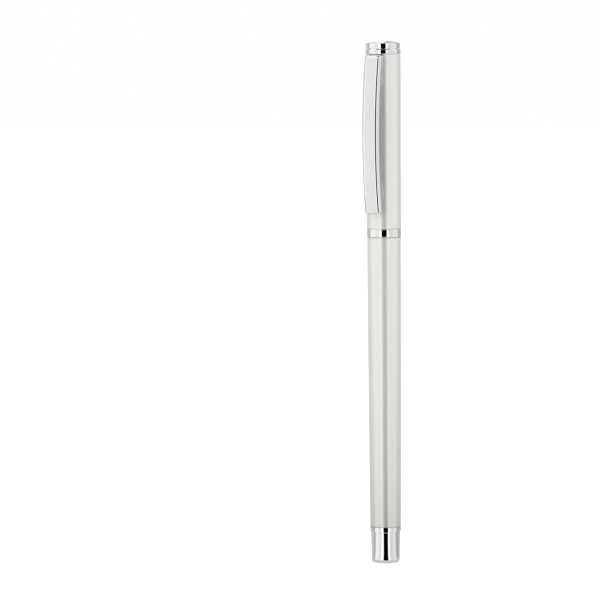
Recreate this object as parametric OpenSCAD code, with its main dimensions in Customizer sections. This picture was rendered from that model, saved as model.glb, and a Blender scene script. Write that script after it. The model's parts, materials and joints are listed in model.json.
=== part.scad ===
// Capped rollerball pen, standing on its tail with the cap upwards.
// Millimetres. +Z runs from the tail to the crown, and the origin is the centre of the tail's flat foot.
// The clip faces -Y.

/* [Pen] */
// Overall length of the capped pen
pen_length = 138; // [136:0.5:140]
// Outside diameter of the barrel at the cap
barrel_top_d = 8.88; // [8.84:0.02:9]
// Outside diameter of the barrel at the tail piece
barrel_foot_d = 8.12; // [8.1:0.02:8.4]
// Height of the cap's rim above the foot
rim_z = 86.3; // [86:0.1:88]

/* [Cap] */
// Outside diameter of the cap at its rim
cap_rim_d = 9.08; // [9.06:0.02:9.2]
// Outside diameter of the cap tube at the crown
cap_top_d = 9.24; // [9.2:0.02:9.4]
// Inside diameter of the cap where it slides over the section
cap_bore_d = 7.8; // [7.76:0.02:7.9]
// Height of the chrome band at the cap's rim
band_h = 2.3; // [1.5:0.1:3]

/* [Clip] */
// Width of the clip
clip_w = 4.8; // [4.6:0.1:5.2]
// Largest distance of the clip's face from the pen's axis
clip_reach = 8.56; // [8.36:0.05:8.86]
// Length of the clip from its arch to its tip
clip_length = 41.5; // [38:0.1:42]
// Thickness of the clip's sheet
clip_sheet = 0.5; // [0.4:0.05:0.6]

/* [Refill] */
// Diameter of the refill
refill_d = 6.1; // [6.0:0.05:6.1]
// Length of the refill from its rear face to the top of the ball
refill_length = 110.5; // [110:0.1:111]
// Diameter of the writing ball
ball_d = 0.7; // [0.5:0.1:0.8]

/* [Section] */
// Diameter of the grip at its rear end
grip_rear_d = 7.4; // [7.2:0.05:7.5]
// Diameter of the grip where it meets the nose cone
grip_front_d = 6.9; // [6.8:0.05:7.1]

/* [Output] */

/* [Hidden] */

$fn = 96;

// Colours
satin_silver = [0.80, 0.80, 0.78];
chrome = [0.90, 0.90, 0.91];
steel = [0.62, 0.63, 0.65];
brass = [0.78, 0.62, 0.30];
black_plastic = [0.09, 0.09, 0.10];
pale_plastic = [0.86, 0.88, 0.90];
ink_fibre = [0.10, 0.12, 0.28];

// Gaps
seam = 0.05;         // between faces that meet end to end
slip = 0.02;         // radial, between pieces fixed in one another
running = 0.05;      // radial, between pieces that turn or slide in one another
overcut = 1;         // how far cutting shapes stand clear of what they cut
edge = 0.1;          // small chamfer on tube ends
bright_edge = 0.2;   // chamfer on the chrome rings, which makes a groove at their joints

// Heights of the cap's pieces
crown_dome_h = 0.6;
crown_button_h = 2.15;
crown_ring_h = 1.35;
button_z = pen_length - crown_button_h;
ring_z = button_z - seam - crown_ring_h;
cap_tube_top_z = ring_z - seam;
cap_tube_foot_z = rim_z + band_h + seam;
bush_h = 6;
bush_z = cap_tube_top_z - bush_h;
bush_floor = 0.8;
liner_top_z = bush_z - 0.1;
liner_roof = 1.2;
sleeve_h = 3.2;
sleeve_top_z = rim_z + band_h + sleeve_h;

// Radii of the cap's pieces
cap_rim_r = cap_rim_d / 2;
cap_top_r = cap_top_d / 2;
cap_bore_r = cap_bore_d / 2;
cap_wall = 0.3;
tube_bore_r = cap_rim_r - cap_wall;
liner_r = tube_bore_r - slip;
crown_ring_r = cap_top_r + 0.025;
button_r = 4.46;
button_round = 0.2;
stud_r = 1.48;
stud_foot_z = bush_z + bush_floor + 0.4;
stud_chamfer = 0.3;

// Barrel
tail_h = 9.6;
barrel_foot_z = tail_h + seam;
barrel_top_z = rim_z - seam;
barrel_wall = 0.42;
barrel_steps = 20;
barrel_bulge = 1.5;
mouth_depth = 16;
mouth_floor_z = barrel_top_z - mouth_depth;
mouth_r = barrel_top_d / 2 - barrel_wall - 0.06;
bore_taper_h = 0.3;
barrel_bush_h = 14;
tail_socket_r = 3.6;
tail_socket_top_z = 18;

// Tail piece
tail_collar_r = barrel_foot_d / 2 + 0.04;
tail_collar_h = 0.35;
tail_bead_h = 1.1;
tail_neck_r = 3.81;
tail_foot_r = 3.69;
tail_foot_round = 0.8;
tail_stud_top_z = 16;
tail_guide_z = 9;
tail_guide_taper = 0.4;
tail_floor_z = 3.5;
spring_bore_r = 2.7;

// Refill
refill_r = refill_d / 2;
refill_rear_z = 10.5;
tip_z = refill_rear_z + refill_length;
refill_wall = 0.3;
refill_bore_r = refill_r - refill_wall;
refill_chamfer = 0.3;
refill_vent_r = 0.4;
plug_flange_h = 1.5;
plug_h = 5.5;
ink_foot_z = refill_rear_z + 7;
refill_tube_top_z = tip_z - 22;
refill_shoulder_z = tip_z - 14.2;
refill_nose_foot_z = refill_tube_top_z - 6;
refill_neck_r = 2.2;
refill_collar_r = 1.6;
point_shank_r = 1.15;
point_root_z = tip_z - 11;
point_shoulder_z = tip_z - 2;
refill_neck_top_z = point_root_z + 1;
refill_nose_top_z = point_root_z + 2;
ball_r = ball_d / 2;
ball_z = tip_z - ball_r;
ball_play = 0.012;
ball_lip_h = 0.12;
ball_feed_r = 0.12;
wick_r = 0.55;
wick_bore_r = wick_r + 0.03;
wick_foot_z = refill_tube_top_z - 19.8;
wick_top_z = tip_z - 4.2;

// Section
coupler_foot_z = rim_z - 9;
pilot_r = 3.35;
thread_r = 3.57;
thread_pitch = 0.75;
thread_turns = 6;
thread_foot_z = barrel_top_z - thread_pitch * thread_turns;
thread_relief_h = 0.5;
thread_chamfer = 0.2;
spigot_r = 3.37;
spigot_top_z = rim_z + 8.7;
refill_guide_r = refill_r + 0.06;
section_ring_top_z = rim_z + 2;
clutch_top_z = section_ring_top_z + 1.3;
grip_top_z = tip_z - 9;
nose_top_z = tip_z - 2.4;
nose_tip_r = 1.75;
nose_shoulder_h = 0.35;
nose_plug_foot_z = refill_shoulder_z + 0.1;
nose_plug_r = 2.95;
nose_neck_r = refill_neck_r + 0.12;
nose_hole_r = point_shank_r + 0.12;
grip_step_z = nose_plug_foot_z - 0.2;

// Clip
clip_top_z = cap_tube_top_z - 0.2;
clip_tip_z = clip_top_z - clip_length;
clip_bow_z = clip_top_z - 22;
clip_bow_r = 124;
clip_bow_steps = 720;   // segments in a full turn, fine enough for the bow's short arc
clip_shoulder_r = 1.1;
clip_deep = 4.2;
clip_arch_h = 0.65;
clip_side_depth = 1.62;
clip_heel_depth = 2.65;
clip_tip_depth = 0.9;
clip_heel_z = clip_top_z - 35.8;
clip_heel_up = 3.8;
clip_notch_z = clip_top_z - 7.7;
clip_notch_h = 1;
clip_notch_depth = 2.4;
clip_root_gap = 0.06;
clip_wall_gap = 0.3;
clip_arch_round = 0.7;
clip_tip_round = 0.55;
clip_corner_r = 0.5;
tongue_w = 3.4;
tongue_t = 0.55;
tongue_root = 0.5;
tongue_end_y = -2.3;
tongue_room = 0.4;
slot_w = 3.8;
slot_z = clip_top_z - 0.9;

// Spring
spring_wire_r = 0.22;
spring_coil_r = 2.3;
spring_turns = 5;
spring_gap = 0.02;

// ---- Shared shapes ----

// Points of an arc about (cx, cz) in the r-z plane
function arc(cx, cz, r, from, to, steps = 8) = [
    for (i = [0 : steps])
        let (a = from + (to - from) * i / steps)
            [cx + r * cos(a), cz + r * sin(a)]
];

// A solid turned about the pen's axis from an outline of [radius, height] points
module turned(outline) {
    rotate_extrude()
        polygon(outline);
}

// A straight tube with chamfered outer edges
module tube(z0, z1, outer_r, inner_r, chamfer = 0) {
    turned([
        [inner_r, z0],
        [outer_r - chamfer, z0],
        [outer_r, z0 + chamfer],
        [outer_r, z1 - chamfer],
        [outer_r - chamfer, z1],
        [inner_r, z1]
    ]);
}

// A solid bar between two heights
module bar(z0, z1, r) {
    translate([0, 0, z0])
        cylinder(h = z1 - z0, r = r);
}

// ---- Barrel ----

// Outside radius of the barrel at height z: a gentle outward curve that is widest at the cap
function barrel_r(z) =
    let (drop = (barrel_top_z - z) / (barrel_top_z - barrel_foot_z))
        barrel_top_d / 2 - (barrel_top_d - barrel_foot_d) / 2 * pow(drop, barrel_bulge);

// Points of the barrel's curve from z0 to z1, moved inward by inset
function barrel_curve(z0, z1, inset, steps) = [
    for (i = [0 : steps])
        let (z = z0 + (z1 - z0) * i / steps)
            [barrel_r(z) - inset, z]
];

// Thin tube with a wider mouth for the bush and a narrower socket for the tail piece
module barrel_tube() {
    outer = concat(
        [[barrel_r(barrel_foot_z) - edge, barrel_foot_z]],
        barrel_curve(barrel_foot_z + edge, barrel_top_z - edge, 0, barrel_steps),
        [[barrel_top_d / 2 - edge, barrel_top_z]]
    );
    bore_top_z = mouth_floor_z - bore_taper_h;
    bore_foot_z = tail_socket_top_z + bore_taper_h;
    inner = concat(
        [[mouth_r, barrel_top_z], [mouth_r, mouth_floor_z]],
        barrel_curve(bore_top_z, bore_foot_z, barrel_wall, barrel_steps),
        [[tail_socket_r, tail_socket_top_z], [tail_socket_r, barrel_foot_z]]
    );
    color(satin_silver)
        turned(concat(outer, inner));
}

// Threaded bush fixed in the barrel's mouth
module barrel_bush() {
    color(brass)
        tube(barrel_top_z - barrel_bush_h, barrel_top_z, mouth_r - slip, thread_r + running);
}

// Beaded tail with a stud that plugs into the barrel and a bore that guides the refill and its spring
module tail_piece() {
    collar_z = barrel_foot_z - seam;
    neck_z = collar_z - tail_collar_h - tail_bead_h;
    bead = [
        for (a = [90 : -15 : 0])
            [
                tail_neck_r + (tail_collar_r - tail_neck_r) * cos(a),
                neck_z + tail_bead_h * (1 - sin(a))
            ]
    ];
    outline = concat(
        [[0, 0]],
        arc(tail_foot_r - tail_foot_round, tail_foot_round, tail_foot_round, -90, 0),
        bead,
        [
            [tail_collar_r, collar_z],
            [tail_socket_r - slip, collar_z],
            [tail_socket_r - slip, tail_stud_top_z],
            [refill_r + running, tail_stud_top_z],
            [refill_r + running, tail_guide_z],
            [spring_bore_r, tail_guide_z - tail_guide_taper],
            [spring_bore_r, tail_floor_z],
            [0, tail_floor_z]
        ]
    );
    color(chrome)
        turned(outline);
}

// ---- Cap ----

// Slightly flared tube, notched for the clip
module cap_tube() {
    color(satin_silver)
        difference() {
            turned([
                [tube_bore_r, cap_tube_foot_z],
                [cap_rim_r - edge, cap_tube_foot_z],
                [cap_rim_r, cap_tube_foot_z + edge],
                [cap_top_r, cap_tube_top_z - edge],
                [cap_top_r - edge, cap_tube_top_z],
                [tube_bore_r, cap_tube_top_z]
            ]);
            // notch that the clip's tongue passes through
            translate([-slot_w / 2, -cap_top_r - overcut, slot_z])
                cube([slot_w, cap_top_r, cap_tube_top_z - slot_z + overcut]);
        }
}

// Rim band with a sleeve that plugs into the cap tube
module cap_band() {
    band_top_z = rim_z + band_h;
    color(chrome)
        turned([
            [cap_bore_r, rim_z],
            [cap_rim_r - bright_edge, rim_z],
            [cap_rim_r, rim_z + bright_edge],
            [cap_rim_r, band_top_z - bright_edge],
            [cap_rim_r - bright_edge, band_top_z],
            [liner_r, band_top_z],
            [liner_r, sleeve_top_z],
            [cap_bore_r, sleeve_top_z]
        ]);
}

// Liner, closed above the writing tip
module inner_cap() {
    chamber_top_z = liner_top_z - liner_roof;
    chamber_chamfer = 0.5;
    color(pale_plastic)
        turned([
            [cap_bore_r, sleeve_top_z + seam],
            [liner_r, sleeve_top_z + seam],
            [liner_r, liner_top_z],
            [0, liner_top_z],
            [0, chamber_top_z],
            [cap_bore_r - chamber_chamfer, chamber_top_z],
            [cap_bore_r, chamber_top_z - chamber_chamfer]
        ]);
}

// Plug at the top of the cap tube, bored for the button's stud and pocketed for the clip's tongue
module crown_bush() {
    color(black_plastic)
        difference() {
            bar(bush_z, cap_tube_top_z, liner_r);
            bar(bush_z + bush_floor, cap_tube_top_z + overcut, stud_r + slip);
            translate([-slot_w / 2, -liner_r - overcut, slot_z])
                cube([
                    slot_w,
                    liner_r + overcut + tongue_end_y + tongue_room,
                    cap_tube_top_z - slot_z + overcut
                ]);
        }
}

// Ring between the cap tube and the button
module crown_ring() {
    color(chrome)
        tube(ring_z, ring_z + crown_ring_h, crown_ring_r, stud_r + slip, bright_edge);
}

// Domed button with the stud that clamps the crown ring to the bush
module crown_button() {
    dome_edge_r = button_r - button_round;
    dome_r = (dome_edge_r * dome_edge_r + crown_dome_h * crown_dome_h) / (2 * crown_dome_h);
    dome_angle = asin(dome_edge_r / dome_r);
    color(chrome)
        turned(concat(
            [
                [0, stud_foot_z],
                [stud_r - stud_chamfer, stud_foot_z],
                [stud_r, stud_foot_z + stud_chamfer],
                [stud_r, button_z],
                [button_r - bright_edge, button_z],
                [button_r, button_z + bright_edge]
            ],
            arc(dome_edge_r, pen_length - crown_dome_h - button_round, button_round, 0, 80, 4),
            arc(0, pen_length - dome_r, dome_r, 90 - dome_angle, 90, 12)
        ));
}

// ---- Clip ----

// Distance of the clip's face from the pen's axis at height z
function clip_face(z) =
    clip_reach - clip_bow_r + sqrt(clip_bow_r * clip_bow_r - (z - clip_bow_z) * (z - clip_bow_z));

// Smooth step from 0 to 1 as t runs from 0 to 1
function ease(t) = (1 - cos(180 * min(1, max(0, t)))) / 2;

// Depth of the clip's side walls behind its face at height z, below the notch
function clip_depth(z) =
    let (
        above = ease((z - clip_heel_z) / clip_heel_up),
        below = ease((clip_heel_z - z) / (clip_heel_z - clip_tip_z))
    )
        z > clip_heel_z
            ? clip_heel_depth - (clip_heel_depth - clip_side_depth) * above
            : clip_heel_depth - (clip_heel_depth - clip_tip_depth) * below;

// Inner edge of the clip's side walls as [-y, z] points, from the arch down to the tip
function clip_back() =
    let (
        top_y = cap_top_r + clip_root_gap,
        arch_z = clip_top_z - clip_arch_h,
        notch_y = clip_face(clip_notch_z) - clip_notch_depth,
        low_z = clip_notch_z - clip_notch_h
    )
        concat(
            [[top_y, clip_top_z], [top_y, arch_z], [top_y + clip_wall_gap, arch_z], [notch_y, clip_notch_z]],
            [
                for (i = [0 : 8])
                    let (z = low_z + (clip_heel_z + clip_heel_up - low_z) * i / 8)
                        [clip_face(z) - clip_side_depth, z]
            ],
            [
                for (i = [1 : 8])
                    let (z = clip_heel_z + clip_heel_up * (1 - i / 8))
                        [clip_face(z) - clip_depth(z), z]
            ],
            [
                for (i = [1 : 10])
                    let (z = clip_heel_z + (clip_tip_z - clip_heel_z) * i / 10)
                        [clip_face(z) - clip_depth(z), z]
            ]
        );

// Side view of the clip as [-y, z] points, with its arch and tip rounded
module clip_side_view() {
    arch_y = clip_face(clip_top_z) - 0.15 - clip_arch_round;
    tip_y = clip_face(clip_tip_z) - clip_tip_round;
    clear_y = clip_reach + overcut;
    polygon(concat(
        clip_back(),
        arc(tip_y, clip_tip_z + clip_tip_round, clip_tip_round, -90, 0, 6),
        [[clear_y, clip_tip_z + 2], [clear_y, clip_top_z - 3]],
        arc(arch_y, clip_top_z - clip_arch_round, clip_arch_round, 10, 90, 6)
    ));
}

// Channel section swept along the clip's bow. Its sheet is set in by inset, which gives the hollow.
module clip_bow(inset) {
    half_w = clip_w / 2 - inset;
    face_r = clip_bow_r - inset;
    back_r = clip_bow_r - clip_deep - inset;
    round_r = clip_shoulder_r - inset;
    half_sweep = 12;
    translate([0, clip_bow_r - clip_reach, clip_bow_z])
        rotate([-90, 0, -90])
            rotate([0, 0, -half_sweep])
                rotate_extrude(angle = 2 * half_sweep, $fn = clip_bow_steps)
                    polygon(concat(
                        [[back_r, -half_w]],
                        arc(face_r - round_r, -half_w + round_r, round_r, -90, 0, 6),
                        arc(face_r - round_r, half_w - round_r, round_r, 0, 90, 6),
                        [[back_r, half_w]]
                    ));
}

// Front view of the clip, with rounded corners
module clip_front_view() {
    side = clip_w / 2 - clip_corner_r;
    low = clip_tip_z + clip_corner_r;
    high = clip_top_z - clip_corner_r;
    polygon(concat(
        arc(-side, low, clip_corner_r, 180, 270, 4),
        arc(side, low, clip_corner_r, 270, 360, 4),
        arc(side, high, clip_corner_r, 0, 90, 4),
        arc(-side, high, clip_corner_r, 90, 180, 4)
    ));
}

// Pressed channel: bowed face, deep side walls at the root, and a heel that nearly meets the cap
module clip() {
    end_wall = clip_sheet + 0.15;
    hollow_h = clip_length - 2 * end_wall;
    color(chrome) {
        difference() {
            intersection() {
                clip_bow(0);
                rotate([90, 0, -90])
                    linear_extrude(height = clip_w + overcut, center = true)
                        clip_side_view();
                rotate([90, 0, 0])
                    linear_extrude(height = clip_reach + overcut)
                        clip_front_view();
            }
            intersection() {
                clip_bow(clip_sheet);
                translate([-clip_w / 2, -clip_reach, clip_tip_z + end_wall])
                    cube([clip_w, clip_reach, hollow_h]);
            }
        }
        // tongue that goes through the cap tube into the bush
        translate([-tongue_w / 2, -cap_top_r - tongue_root, clip_top_z - tongue_t])
            cube([tongue_w, cap_top_r + tongue_root + tongue_end_y, tongue_t]);
    }
}

// ---- Section ----

// Brass tube with a short thread that screws into the barrel, and a spigot that carries the grip
module section_coupler() {
    relief_z = barrel_top_z - thread_relief_h;
    color(brass)
        turned([
            [refill_guide_r, coupler_foot_z],
            [pilot_r, coupler_foot_z],
            [pilot_r, thread_foot_z],
            [thread_r, thread_foot_z + thread_chamfer],
            [thread_r, relief_z],
            [spigot_r, relief_z + thread_chamfer],
            [spigot_r, spigot_top_z],
            [refill_guide_r, spigot_top_z]
        ]);
}

// Shoulder that closes the barrel's mouth
module section_ring() {
    color(chrome)
        tube(rim_z, section_ring_top_z, cap_bore_r - 0.15, spigot_r + slip, edge);
}

// Ring that the cap's band grips
module clutch_ring() {
    color(steel)
        tube(section_ring_top_z + seam, clutch_top_z, cap_bore_r - running, spigot_r + slip, edge);
}

// Outside radius of the grip at height z
function grip_r(z) =
    grip_front_d / 2 + (grip_rear_d - grip_front_d) / 2 * (grip_top_z - z) / (grip_top_z - clutch_top_z);

// Grip with shallow ring grooves near the nose
module grip() {
    groove_pitch = 2.2;
    grooves = 8;
    groove_r = 0.25;
    groove_depth = 0.12;
    first_land = 1;
    color(black_plastic)
        difference() {
            turned([
                [spigot_r + slip, clutch_top_z + seam],
                [grip_rear_d / 2 - edge, clutch_top_z + seam],
                [grip_rear_d / 2, clutch_top_z + seam + edge],
                [grip_front_d / 2, grip_top_z],
                [nose_plug_r + slip, grip_top_z],
                [nose_plug_r + slip, grip_step_z],
                [refill_guide_r, grip_step_z],
                [refill_guide_r, spigot_top_z + seam],
                [spigot_r + slip, spigot_top_z + seam]
            ]);
            for (i = [1 : grooves]) {
                z = grip_top_z - first_land - i * groove_pitch;
                rotate_extrude()
                    translate([grip_r(z) + groove_r - groove_depth, z])
                        circle(r = groove_r, $fn = 24);
            }
        }
}

// Tapered nose that screws into the grip and lets the refill's point through
module nose_cone() {
    nose_foot_z = grip_top_z + seam;
    bore_top_z = refill_nose_top_z + 0.2;
    color(chrome)
        turned([
            [nose_neck_r, nose_plug_foot_z],
            [nose_plug_r, nose_plug_foot_z],
            [nose_plug_r, nose_foot_z],
            [grip_front_d / 2, nose_foot_z],
            [grip_front_d / 2, nose_foot_z + nose_shoulder_h],
            [nose_tip_r, nose_top_z - edge],
            [nose_tip_r - edge, nose_top_z],
            [nose_hole_r, nose_top_z],
            [nose_hole_r, bore_top_z + nose_neck_r - nose_hole_r],
            [nose_neck_r, bore_top_z]
        ]);
}

// ---- Refill ----

// Metal body of the refill
module refill_tube() {
    color(steel)
        tube(refill_rear_z + plug_flange_h, refill_tube_top_z, refill_r, refill_bore_r);
}

// Vented plug in the rear of the refill
module refill_plug() {
    flange_top_z = refill_rear_z + plug_flange_h - seam;
    color(black_plastic)
        turned([
            [refill_vent_r, refill_rear_z],
            [refill_r - refill_chamfer, refill_rear_z],
            [refill_r, refill_rear_z + refill_chamfer],
            [refill_r, flange_top_z],
            [refill_bore_r - slip, flange_top_z],
            [refill_bore_r - slip, refill_rear_z + plug_h],
            [refill_vent_r, refill_rear_z + plug_h]
        ]);
}

// Fibre that holds the ink, bored for the wick
module ink_reservoir() {
    ink_top_z = refill_nose_foot_z - 0.5;
    color(ink_fibre)
        difference() {
            bar(ink_foot_z, ink_top_z, refill_bore_r - 0.08);
            bar(wick_foot_z - 0.2, ink_top_z + overcut, wick_r + slip);
        }
}

// Plastic front of the refill, stepped down to the metal point
module refill_nose() {
    color(black_plastic)
        turned([
            [wick_bore_r, refill_nose_foot_z],
            [refill_bore_r - slip, refill_nose_foot_z],
            [refill_bore_r - slip, refill_tube_top_z + seam],
            [refill_r, refill_tube_top_z + seam],
            [refill_r, refill_shoulder_z - refill_chamfer],
            [refill_r - refill_chamfer, refill_shoulder_z],
            [refill_neck_r, refill_shoulder_z],
            [refill_neck_r, refill_neck_top_z],
            [refill_collar_r, refill_nose_top_z],
            [point_shank_r + slip, refill_nose_top_z],
            [point_shank_r + slip, point_root_z - seam],
            [wick_bore_r, point_root_z - seam]
        ]);
}

// Wick that carries the ink from the fibre to the point
module feed_wick() {
    color(ink_fibre)
        bar(wick_foot_z, wick_top_z, wick_r);
}

// Metal point with a lip that holds the ball
module refill_point() {
    socket_r = ball_r + ball_play;
    socket_floor_z = ball_z - socket_r;
    socket_wall = 0.06;
    wick_seat_z = wick_top_z + 0.2;
    color(steel)
        turned([
            [wick_bore_r, point_root_z],
            [point_shank_r, point_root_z],
            [point_shank_r, point_shoulder_z],
            [socket_r + socket_wall, ball_z + ball_lip_h],
            [sqrt(socket_r * socket_r - ball_lip_h * ball_lip_h), ball_z + ball_lip_h],
            [socket_r, ball_z],
            [socket_r, socket_floor_z],
            [ball_feed_r, socket_floor_z],
            [ball_feed_r, wick_seat_z],
            [wick_bore_r, wick_seat_z]
        ]);
}

module writing_ball() {
    color(steel)
        translate([0, 0, ball_z])
            sphere(r = ball_r, $fn = 48);
}

// Coil spring between the tail's floor and the refill
module refill_spring() {
    round_steps = 20;
    wire_steps = 6;
    turns_steps = spring_turns * round_steps;
    low_z = tail_floor_z + spring_wire_r + spring_gap;
    high_z = refill_rear_z - spring_wire_r - spring_gap;
    wire_points = [
        for (i = [0 : turns_steps])
            let (a = 360 * i / round_steps, z = low_z + (high_z - low_z) * i / turns_steps)
                for (j = [0 : wire_steps - 1])
                    let (
                        b = 360 * j / wire_steps,
                        r = spring_coil_r + spring_wire_r * cos(b)
                    )
                        [r * cos(a), r * sin(a), z + spring_wire_r * sin(b)]
    ];
    sides = [
        for (i = [0 : turns_steps - 1])
            for (j = [0 : wire_steps - 1])
                let (k = (j + 1) % wire_steps)
                    [
                        i * wire_steps + j,
                        i * wire_steps + k,
                        (i + 1) * wire_steps + k,
                        (i + 1) * wire_steps + j
                    ]
    ];
    ends = [
        [for (j = [wire_steps - 1 : -1 : 0]) j],
        [for (j = [0 : wire_steps - 1]) turns_steps * wire_steps + j]
    ];
    color(steel)
        polyhedron(points = wire_points, faces = concat(sides, ends), convexity = 10);
}

barrel_tube();
barrel_bush();
tail_piece();
cap_tube();
cap_band();
inner_cap();
crown_bush();
crown_ring();
crown_button();
clip();
section_coupler();
section_ring();
clutch_ring();
grip();
nose_cone();
refill_tube();
refill_plug();
ink_reservoir();
refill_nose();
feed_wick();
refill_point();
writing_ball();
refill_spring();
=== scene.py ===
"""Looks of the rollerball pen: materials, finer pieces, studio and camera. Metres, in the CAD frame."""
import json
import math

import bpy
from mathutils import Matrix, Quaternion, Vector


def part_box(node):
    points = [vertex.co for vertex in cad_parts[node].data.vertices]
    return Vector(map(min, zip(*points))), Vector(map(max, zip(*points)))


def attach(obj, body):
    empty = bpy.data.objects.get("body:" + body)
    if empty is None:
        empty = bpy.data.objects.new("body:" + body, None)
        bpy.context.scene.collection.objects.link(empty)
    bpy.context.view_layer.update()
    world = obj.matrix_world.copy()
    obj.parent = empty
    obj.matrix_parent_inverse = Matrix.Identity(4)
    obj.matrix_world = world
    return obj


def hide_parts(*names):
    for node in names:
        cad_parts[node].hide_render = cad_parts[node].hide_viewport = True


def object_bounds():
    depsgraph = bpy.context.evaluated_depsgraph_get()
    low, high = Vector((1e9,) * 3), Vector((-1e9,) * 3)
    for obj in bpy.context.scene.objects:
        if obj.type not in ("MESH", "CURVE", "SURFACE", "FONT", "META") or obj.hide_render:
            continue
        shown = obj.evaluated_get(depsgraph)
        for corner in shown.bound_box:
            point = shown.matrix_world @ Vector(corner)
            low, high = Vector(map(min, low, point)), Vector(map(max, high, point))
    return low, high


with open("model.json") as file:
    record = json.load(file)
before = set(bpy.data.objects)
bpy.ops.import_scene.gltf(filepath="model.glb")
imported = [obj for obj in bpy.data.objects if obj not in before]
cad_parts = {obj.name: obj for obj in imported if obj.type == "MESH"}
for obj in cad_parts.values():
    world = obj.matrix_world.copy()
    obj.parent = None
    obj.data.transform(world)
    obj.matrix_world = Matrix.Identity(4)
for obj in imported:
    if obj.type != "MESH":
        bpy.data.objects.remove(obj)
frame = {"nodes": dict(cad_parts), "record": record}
nodes = frame["nodes"]
cad_low, cad_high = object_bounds()

MM = 0.001
PEN_LENGTH = cad_high.z - cad_low.z


# ---- Shader helpers ----

def new_material(name, color, metallic, roughness):
    """A principled material with constant values. Returns it, its node tree and its shader."""
    material = bpy.data.materials.new(name)
    material.use_nodes = True
    tree = material.node_tree
    shader = tree.nodes["Principled BSDF"]
    shader.inputs["Base Color"].default_value = (*color, 1)
    shader.inputs["Metallic"].default_value = metallic
    shader.inputs["Roughness"].default_value = roughness
    return material, tree, shader


def add_noise(tree, scale, detail=3.0, stretch=(1, 1, 1)):
    """Noise in object coordinates, stretched along the axes. Scale is per metre."""
    coords = tree.nodes.new("ShaderNodeTexCoord")
    mapping = tree.nodes.new("ShaderNodeMapping")
    noise = tree.nodes.new("ShaderNodeTexNoise")
    mapping.inputs["Scale"].default_value = stretch
    noise.inputs["Scale"].default_value = scale
    noise.inputs["Detail"].default_value = detail
    tree.links.new(coords.outputs["Object"], mapping.inputs["Vector"])
    tree.links.new(mapping.outputs["Vector"], noise.inputs["Vector"])
    return noise.outputs["Fac"]


def add_ramp(tree, source, low, high, start=0.35, stop=0.65):
    """Colours from low to high as the source runs from start to stop."""
    ramp = tree.nodes.new("ShaderNodeValToRGB")
    ramp.color_ramp.elements[0].position = start
    ramp.color_ramp.elements[1].position = stop
    ramp.color_ramp.elements[0].color = (*low, 1)
    ramp.color_ramp.elements[1].color = (*high, 1)
    tree.links.new(source, ramp.inputs["Fac"])
    return ramp.outputs["Color"]


def add_range(tree, source, low, high):
    """Maps a 0 to 1 value to low to high."""
    scale = tree.nodes.new("ShaderNodeMapRange")
    scale.inputs["To Min"].default_value = low
    scale.inputs["To Max"].default_value = high
    tree.links.new(source, scale.inputs["Value"])
    return scale.outputs["Result"]


def add_bump(tree, shader, source, strength):
    """Fine relief under the shader."""
    bump = tree.nodes.new("ShaderNodeBump")
    bump.inputs["Strength"].default_value = strength
    bump.inputs["Distance"].default_value = 0.02 * MM
    tree.links.new(source, bump.inputs["Height"])
    tree.links.new(bump.outputs["Normal"], shader.inputs["Normal"])


def varied(name, colors, metallic, roughness, grain, stretch=(1, 1, 1), bump=0.05):
    """A material whose colour, roughness and relief vary. Colors and roughness are (low, high) pairs."""
    low, high = colors
    middle = tuple((a + b) / 2 for a, b in zip(low, high))
    material, tree, shader = new_material(name, middle, metallic, sum(roughness) / 2)
    fine = add_noise(tree, grain, 4.0, stretch)
    broad = add_noise(tree, grain / 6, 2.0, stretch)
    tree.links.new(add_ramp(tree, broad, low, high), shader.inputs["Base Color"])
    tree.links.new(add_range(tree, fine, *roughness), shader.inputs["Roughness"])
    add_bump(tree, shader, fine, bump)
    return material


# ---- Materials ----

ROUND_THE_PEN = (1, 1, 14)      # marks left by turning
ALONG_THE_PEN = (1, 1, 0.05)


def satin_silver():
    """Silver lacquer over brass tube: half pigment, half metal flake, with a soft sheen."""
    colors = ((0.79, 0.79, 0.765), (0.81, 0.81, 0.785))
    return varied("satin_silver", colors, 0.5, (0.27, 0.31), 14000, bump=0.012)


def chrome():
    """Bright plating with a faint polishing haze."""
    colors = ((0.90, 0.90, 0.90), (0.92, 0.92, 0.92))
    return varied("chrome_plate", colors, 1.0, (0.02, 0.05), 3000, bump=0.002)


def brass():
    """Turned brass with fine rings round the pen's axis."""
    colors = ((0.72, 0.52, 0.22), (0.80, 0.61, 0.30))
    return varied("brass", colors, 1.0, (0.22, 0.34), 2500, ROUND_THE_PEN, 0.08)


def steel():
    """Ground steel with fine rings round the pen's axis."""
    colors = ((0.55, 0.56, 0.58), (0.64, 0.65, 0.67))
    return varied("steel", colors, 1.0, (0.20, 0.32), 2500, ROUND_THE_PEN, 0.06)


def black_plastic():
    """Moulded black plastic with a fine spark-eroded texture."""
    colors = ((0.012, 0.012, 0.014), (0.022, 0.022, 0.025))
    return varied("black_plastic", colors, 0.0, (0.38, 0.50), 6000, bump=0.12)


def pale_plastic():
    """Natural moulded plastic."""
    colors = ((0.70, 0.72, 0.74), (0.76, 0.78, 0.80))
    return varied("pale_plastic", colors, 0.0, (0.28, 0.40), 3000, bump=0.04)


def shaded_dull_steel():
    """Unpolished inside of the pressed clip, made far darker than bare steel as painted shade: its
    reflection darkens the tube beside the clip.
    """
    colors = ((0.24, 0.24, 0.25), (0.30, 0.30, 0.31))
    return varied("clip_inside_painted_shade", colors, 1.0, (0.35, 0.45), 4000, bump=0.05)


def ink_fibre():
    """Bonded fibre soaked with ink, with its strands along the pen."""
    colors = ((0.012, 0.015, 0.06), (0.03, 0.035, 0.12))
    return varied("ink_fibre", colors, 0.0, (0.75, 0.90), 9000, ALONG_THE_PEN, 0.5)


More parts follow.
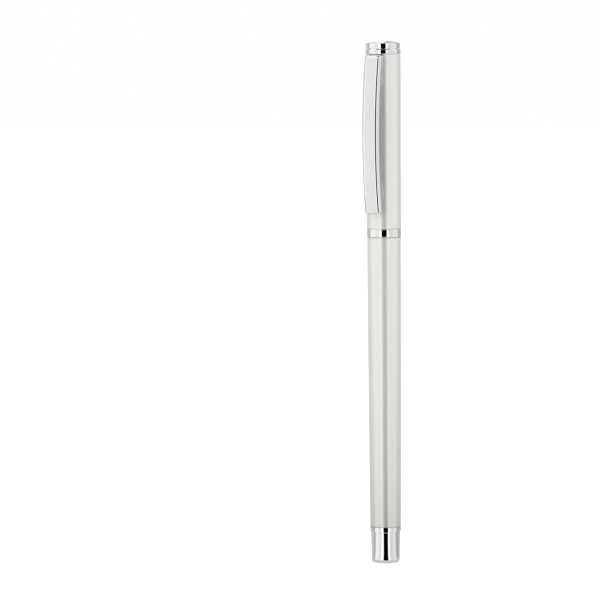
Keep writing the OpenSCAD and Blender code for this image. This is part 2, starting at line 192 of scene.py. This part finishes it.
def paint_nodes():
    """Gives each CAD node the material of its slot in the record, and returns the materials by slot."""
    made = {
        "satin_silver": satin_silver(),
        "chrome_plate": chrome(),
        "brass": brass(),
        "steel": steel(),
        "black_plastic": black_plastic(),
        "pale_plastic": pale_plastic(),
        "ink_fibre": ink_fibre(),
    }
    for part in frame["record"]["subparts"]:
        node = nodes[part["node"]]
        node.data.materials.clear()
        node.data.materials.append(made[part["material_slot"]])
    return made


materials = paint_nodes()


# ---- Mesh helpers ----

def make_object(name, verts, faces, material, sharp=None):
    """A mesh object in the scene. With sharp, it is shaded smooth up to that many degrees between faces."""
    mesh = bpy.data.meshes.new(name)
    mesh.from_pydata(verts, [], faces)
    mesh.materials.append(material)
    if sharp is not None:
        for polygon in mesh.polygons:
            polygon.use_smooth = True
        mesh.set_sharp_from_angle(angle=math.radians(sharp))
    obj = bpy.data.objects.new(name, mesh)
    bpy.context.scene.collection.objects.link(obj)
    return obj


def loft(loops, closed_rows=False):
    """Quads that join loops of equal length, each loop closed on itself."""
    count = len(loops[0])
    rows = len(loops)
    faces = []
    for row in range(rows if closed_rows else rows - 1):
        above = (row + 1) % rows
        for i in range(count):
            j = (i + 1) % count
            faces.append((row * count + i, row * count + j, above * count + j, above * count + i))
    return faces


def spread(start, stop, count):
    """Evenly spaced values from start to stop, both included."""
    return [start + (stop - start) * i / (count - 1) for i in range(count)]


def ease(t):
    """Smooth step from 0 to 1."""
    return (1 - math.cos(math.pi * min(1, max(0, t)))) / 2


# ---- Clip: the CAD's pressed channel with finer curves ----

clip_low, clip_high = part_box("clip")
CLIP_TOP = clip_high.z
CLIP_TIP = clip_low.z
CLIP_HALF = clip_high.x
CLIP_REACH = -clip_low.y
CLIP_TONGUE_END = -clip_high.y
CAP_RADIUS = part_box("cap_tube")[1].x

BOW_RADIUS = 124 * MM
BOW_HEIGHT = CLIP_TOP - 22 * MM
SHEET = 0.5 * MM
SHOULDER = 1.1 * MM
END_WALL = 0.65 * MM
CORNER = 0.5 * MM
TIP_ROUND = 0.55 * MM
ARCH_ROUND = 1.0 * MM
ARCH = CLIP_TOP - 0.65 * MM
SIDE_DEPTH = 1.62 * MM
HEEL = CLIP_TOP - 35.8 * MM
HEEL_RISE = 3.8 * MM
HEEL_DEPTH = 2.65 * MM
TIP_DEPTH = 0.9 * MM
NOTCH = CLIP_TOP - 7.7 * MM
NOTCH_RISE = 1 * MM
NOTCH_DEPTH = 2.4 * MM
ROOT_GAP = 0.06 * MM
WALL_GAP = 0.3 * MM
TONGUE_HALF = 1.7 * MM
TONGUE_SHEET = 0.55 * MM
TONGUE_DROP = 0.02 * MM     # keeps the tongue's top just under the arch
ARC_STEPS = 16
END_STEPS = 12
CLIP_ROWS = 140
END_GAP = 0.01 * MM         # between the last hollow section and the first solid one
CLIP_SHARP = 35             # degrees between faces


def rounded(run, radius):
    """How far a rounded end is set back at a distance of run from its edge."""
    return radius - math.sqrt(radius ** 2 - (radius - run) ** 2) if run < radius else 0


def bow(z):
    """Distance of the clip's face from the pen's axis, before its ends are rounded."""
    return CLIP_REACH - BOW_RADIUS + math.sqrt(BOW_RADIUS ** 2 - (z - BOW_HEIGHT) ** 2)


def clip_face(z):
    """Distance of the clip's face from the pen's axis."""
    return bow(z) - rounded(z - CLIP_TIP, TIP_ROUND) - rounded(CLIP_TOP - z, ARCH_ROUND)


def clip_back(z):
    """Distance of the side walls' inner edges from the pen's axis."""
    root = CAP_RADIUS + ROOT_GAP
    notch = bow(NOTCH) - NOTCH_DEPTH
    if z >= ARCH:
        return root
    if z >= NOTCH:
        return notch + (root + WALL_GAP - notch) * (z - NOTCH) / (ARCH - NOTCH)
    below_notch = (NOTCH - z) / NOTCH_RISE
    if below_notch < 1:
        return notch + (bow(z) - SIDE_DEPTH - notch) * below_notch
    if z >= HEEL:
        return bow(z) - HEEL_DEPTH + (HEEL_DEPTH - SIDE_DEPTH) * ease((z - HEEL) / HEEL_RISE)
    return bow(z) - HEEL_DEPTH + (HEEL_DEPTH - TIP_DEPTH) * ease((HEEL - z) / (HEEL - CLIP_TIP))


def channel(half, face, back, radius):
    """Round-shouldered channel as (x, distance) points, from the left wall's edge to the right's."""
    centre = face - radius
    start = math.asin(min(1, max(0, (back - centre) / radius)))
    turns = spread(start, math.pi / 2, ARC_STEPS)
    left = [(-half + radius - radius * math.cos(a), centre + radius * math.sin(a)) for a in turns]
    left.insert(0, (left[0][0], back))
    return left + [(-x, distance) for x, distance in reversed(left)]


def clip_loop(z, hollow):
    """Closed section of the clip at height z. Where it is solid, the hollow is folded onto the back."""
    half = CLIP_HALF - rounded(min(z - CLIP_TIP, CLIP_TOP - z), CORNER)
    face = clip_face(z)
    back = clip_back(z)
    outer = channel(half, face, back, SHOULDER)
    inner = channel(half - SHEET, face - SHEET, back, SHOULDER - SHEET) if hollow else outer
    if not hollow:
        inner = [(x, back) for x, _ in outer]
    return [Vector((x, -distance, z)) for x, distance in outer + inner[::-1]]


def build_clip():
    """The clip as one shell from tip to arch, with its tongue."""
    low_hollow = CLIP_TIP + END_WALL
    high_hollow = CLIP_TOP - END_WALL
    end_steps = [END_WALL * (1 - math.cos(a)) for a in spread(0, math.pi / 2, END_STEPS)]
    loops = [clip_loop(CLIP_TIP + step, False) for step in end_steps]
    loops += [clip_loop(z, True) for z in spread(low_hollow, high_hollow - END_GAP, CLIP_ROWS)]
    loops += [clip_loop(CLIP_TOP - step, False) for step in reversed(end_steps)]
    verts = [point for loop in loops for point in loop]
    faces = loft(loops)
    wall_count = len(faces)
    outer_count = len(loops[0]) // 2
    last = len(verts) - len(loops[0])
    faces.append(tuple(reversed(range(outer_count))))
    faces.append(tuple(range(last, last + outer_count)))

    tongue = len(verts)
    for z in (CLIP_TOP - TONGUE_SHEET, CLIP_TOP - TONGUE_DROP):
        for x, distance in ((-1, 0), (1, 0), (1, 1), (-1, 1)):
            y = -CLIP_TONGUE_END - distance * (CAP_RADIUS + SHEET - CLIP_TONGUE_END)
            verts.append(Vector((x * TONGUE_HALF, y, z)))
    for corners in ((0, 3, 2, 1), (4, 5, 6, 7), (0, 1, 5, 4), (1, 2, 6, 5), (2, 3, 7, 6), (3, 0, 4, 7)):
        faces.append(tuple(tongue + i for i in corners))

    clip = make_object("clip_fine", verts, faces, materials["chrome_plate"], sharp=CLIP_SHARP)
    # The channel's inner faces get the darkened steel: painted shade inside the clip, seen again in the
    # tube's reflection.
    clip.data.materials.append(shaded_dull_steel())
    for face in clip.data.polygons[:wall_count]:
        inside = all(v % len(loops[0]) >= outer_count for v in face.vertices)
        face.material_index = int(inside)
    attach(clip, "clip")
    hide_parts("clip")


build_clip()


# ---- Section coupler: the CAD's plain thread band with a real thread ----

coupler_low, coupler_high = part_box("section_coupler")
THREAD_CREST = coupler_high.x
THREAD_DEPTH = 0.2 * MM
THREAD_PITCH = 0.75 * MM
THREAD_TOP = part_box("barrel_tube")[1].z - 0.5 * MM
THREAD_FOOT = THREAD_TOP - 4 * MM
PILOT_RADIUS = 3.35 * MM
SPIGOT_RADIUS = THREAD_CREST - THREAD_DEPTH
COUPLER_BORE = 3.11 * MM
ROUND_STEPS = 96
THREAD_ROWS = 65
THREAD_LEDGE = 0.05 * MM     # where the thread band steps in to the spigot
THREAD_SHARP = 50           # degrees between faces


def thread_radius(z, turn):
    """Outside radius of the coupler at height z, where turn runs from 0 to 1 round the pen."""
    if z < THREAD_FOOT:
        return PILOT_RADIUS
    if z > THREAD_TOP:
        return SPIGOT_RADIUS
    wave = abs(2 * ((z / THREAD_PITCH - turn) % 1) - 1)
    run_out = ease((z - THREAD_FOOT) / THREAD_PITCH) * ease((THREAD_TOP - z) / THREAD_PITCH)
    return SPIGOT_RADIUS + THREAD_DEPTH * wave * run_out


def build_coupler():
    """The threaded tube between the barrel and the grip."""
    thread_rows = spread(THREAD_FOOT, THREAD_TOP, THREAD_ROWS)
    heights = [coupler_low.z] + thread_rows + [THREAD_TOP + THREAD_LEDGE, coupler_high.z]
    turns = [i / ROUND_STEPS for i in range(ROUND_STEPS)]

    def ring(z, radius_at):
        return [
            Vector((radius_at(z, t) * math.cos(math.tau * t), radius_at(z, t) * math.sin(math.tau * t), z))
            for t in turns
        ]

    def bore(z, turn):
        return COUPLER_BORE

    loops = [ring(z, thread_radius) for z in heights]
    loops += [ring(coupler_high.z, bore), ring(coupler_low.z, bore)]
    verts = [point for loop in loops for point in loop]
    faces = loft(loops, closed_rows=True)
    coupler = make_object("coupler_thread", verts, faces, materials["brass"], sharp=THREAD_SHARP)
    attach(coupler, "section")
    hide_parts("section_coupler")


build_coupler()


# ---- Studio ----

PHOTO_AZIMUTH = 27.5      # degrees between the clip's direction and the camera's
PHOTO_ELEVATION = 3.75    # puts the camera level with the crown
PHOTO_LEAN = -0.4         # degrees that the pen leans to the left in the picture
PEN_SHARE = 0.871         # of the picture's height
CAMERA_DISTANCE = 1.0
CAMERA_SIDE = -22.27 * MM  # puts the pen right of centre
CAMERA_LIFT = 0.83 * MM
SENSOR = 36               # millimetres

CARD_RADIUS = 0.5
CARD_HEIGHT = 0.6
CARD_STEP = 3             # degrees between a curved card's edges
ROUND_STEP = 10           # degrees between a round card's corners
ABOVE_RADIUS = 0.2
ABOVE_LEVEL = 0.12
BELOW_LEVEL = 0.6
SHADE_LEVEL = 0.1
ON_FLOOR = 0.2 * MM
SKIRT_START = 8 * MM
SHADE_RADIUS = 40 * MM
FLOOR_REACH = 6.0
FLOOR_GLOW = 0.3

# Cards by start and stop in degrees from the camera, with their brightness
WALL_CARDS = [
    (0, 17, 0.0), (17, 32, 1.25), (32, 58, 0.85),
    (58, 106, 0.95), (106, 126, 0.48), (126, 178, 0.62),
]
FLOOR_CARDS = [
    (0, 17, 0.0), (17, 32, 1.25), (32, 58, 0.83),
    (58, 86, 0.95), (86, 108, 0.46), (108, 178, 0.58),
]
SIDES = [("left", -1, 1.0), ("right", 1, 0.87)]      # name, sign of the angle, share of the brightness


def direction(azimuth, elevation=0.0):
    """Unit vector from the pen towards a camera at that azimuth and elevation, in degrees."""
    a = math.radians(azimuth)
    e = math.radians(elevation)
    return Vector((math.sin(a) * math.cos(e), -math.cos(a) * math.cos(e), math.sin(e)))


def glow_material(name, level):
    """A card that gives off an even grey light."""
    material = bpy.data.materials.new(name)
    material.use_nodes = True
    tree = material.node_tree
    tree.nodes.clear()
    glow = tree.nodes.new("ShaderNodeEmission")
    output = tree.nodes.new("ShaderNodeOutputMaterial")
    glow.inputs["Color"].default_value = (level, level, level, 1)
    tree.links.new(glow.outputs["Emission"], output.inputs["Surface"])
    return material


def only_in_shine(obj):
    """Hides a stage piece from everything but reflections."""
    obj.visible_camera = False
    obj.visible_diffuse = False
    obj.visible_shadow = False
    return obj


def curved_card(name, start, stop, level, foot, top):
    """A card round the pen between two angles from the camera.
    Foot and top are the (radius, height) of its edges."""
    steps = max(2, int(abs(stop - start) / CARD_STEP))
    verts = []
    for angle in spread(start, stop, steps + 1):
        way = direction(PHOTO_AZIMUTH + angle)
        verts += [(way.x * radius, way.y * radius, height) for radius, height in (foot, top)]
    faces = [(2 * i, 2 * i + 1, 2 * i + 3, 2 * i + 2) for i in range(steps)]
    return only_in_shine(make_object(name, verts, faces, glow_material(name, level)))


def level_card(name, z, radius, level):
    """A round card above or below the pen."""
    centre = Vector((0, 0, z))
    verts = [tuple(direction(a) * radius + centre) for a in range(0, 360, ROUND_STEP)]
    return only_in_shine(make_object(name, verts, [tuple(range(len(verts)))], glow_material(name, level)))


def build_world():
    """Even white light from everywhere."""
    world = bpy.data.worlds.new("studio")
    bpy.context.scene.world = world
    world.use_nodes = True
    background = world.node_tree.nodes["Background"]
    background.inputs["Color"].default_value = (1, 1, 1, 1)
    background.inputs["Strength"].default_value = 1.0


def build_floor():
    """A pale floor that meets the white surroundings without a horizon.
    Even light from under the pen's foot comes from a dim patch, so the pen darkens towards its tail."""
    material, _, shader = new_material("floor", (0.9, 0.9, 0.9), 0.0, 0.9)
    shader.inputs["Emission Color"].default_value = (1, 1, 1, 1)
    shader.inputs["Emission Strength"].default_value = FLOOR_GLOW
    azimuths = range(0, 360, ROUND_STEP)
    inner = [tuple(direction(a) * SHADE_RADIUS) for a in azimuths]
    outer = [tuple(direction(a) * FLOOR_REACH) for a in azimuths]
    floor = make_object("floor", inner + outer, loft([inner, outer]), material)
    centre = make_object("floor_centre", inner, [tuple(range(len(inner)))], material)
    centre.visible_diffuse = False
    shade = level_card("card_shade", -ON_FLOOR, SHADE_RADIUS, SHADE_LEVEL)
    shade.visible_diffuse = True
    shade.visible_glossy = False
    return [floor, centre, shade]


def build_cards():
    """Cards that shape the pen's reflections: a wall round the pen, and a floor out to the wall."""
    cards = [
        level_card("card_above", CARD_HEIGHT, ABOVE_RADIUS, ABOVE_LEVEL),
        level_card("card_below", ON_FLOOR, SKIRT_START, BELOW_LEVEL),
    ]
    skirt = (SKIRT_START, ON_FLOOR)
    corner = (CARD_RADIUS, ON_FLOOR)
    brow = (CARD_RADIUS, CARD_HEIGHT)
    for side, sign, share in SIDES:
        for start, stop, level in WALL_CARDS:
            name = f"card_wall_{side}_{start}"
            cards.append(curved_card(name, sign * start, sign * stop, level * share, corner, brow))
        for start, stop, level in FLOOR_CARDS:
            name = f"card_floor_{side}_{start}"
            cards.append(curved_card(name, sign * start, sign * stop, level * share, skirt, corner))
    return cards


def build_camera():
    """The photograph's camera: level with the crown, aimed at mid-height, the pen right of centre."""
    data = bpy.data.cameras.new("camera")
    camera = bpy.data.objects.new("camera", data)
    bpy.context.scene.collection.objects.link(camera)
    bpy.context.scene.camera = camera
    frame_height = PEN_LENGTH / PEN_SHARE
    data.sensor_width = SENSOR
    data.lens = SENSOR * CAMERA_DISTANCE / frame_height
    away = direction(PHOTO_AZIMUTH, PHOTO_ELEVATION)
    aim = Vector((0, 0, PEN_LENGTH / 2 + CAMERA_LIFT)) + direction(PHOTO_AZIMUTH + 90) * CAMERA_SIDE
    camera.location = aim + away * CAMERA_DISTANCE
    camera.rotation_mode = "QUATERNION"
    lean = Quaternion((0, 0, 1), math.radians(PHOTO_LEAN))
    camera.rotation_quaternion = (-away).to_track_quat("-Z", "Y") @ lean


build_world()
build_floor()
build_cards()
build_camera()
bpy.context.scene.view_settings.view_transform = "Standard"
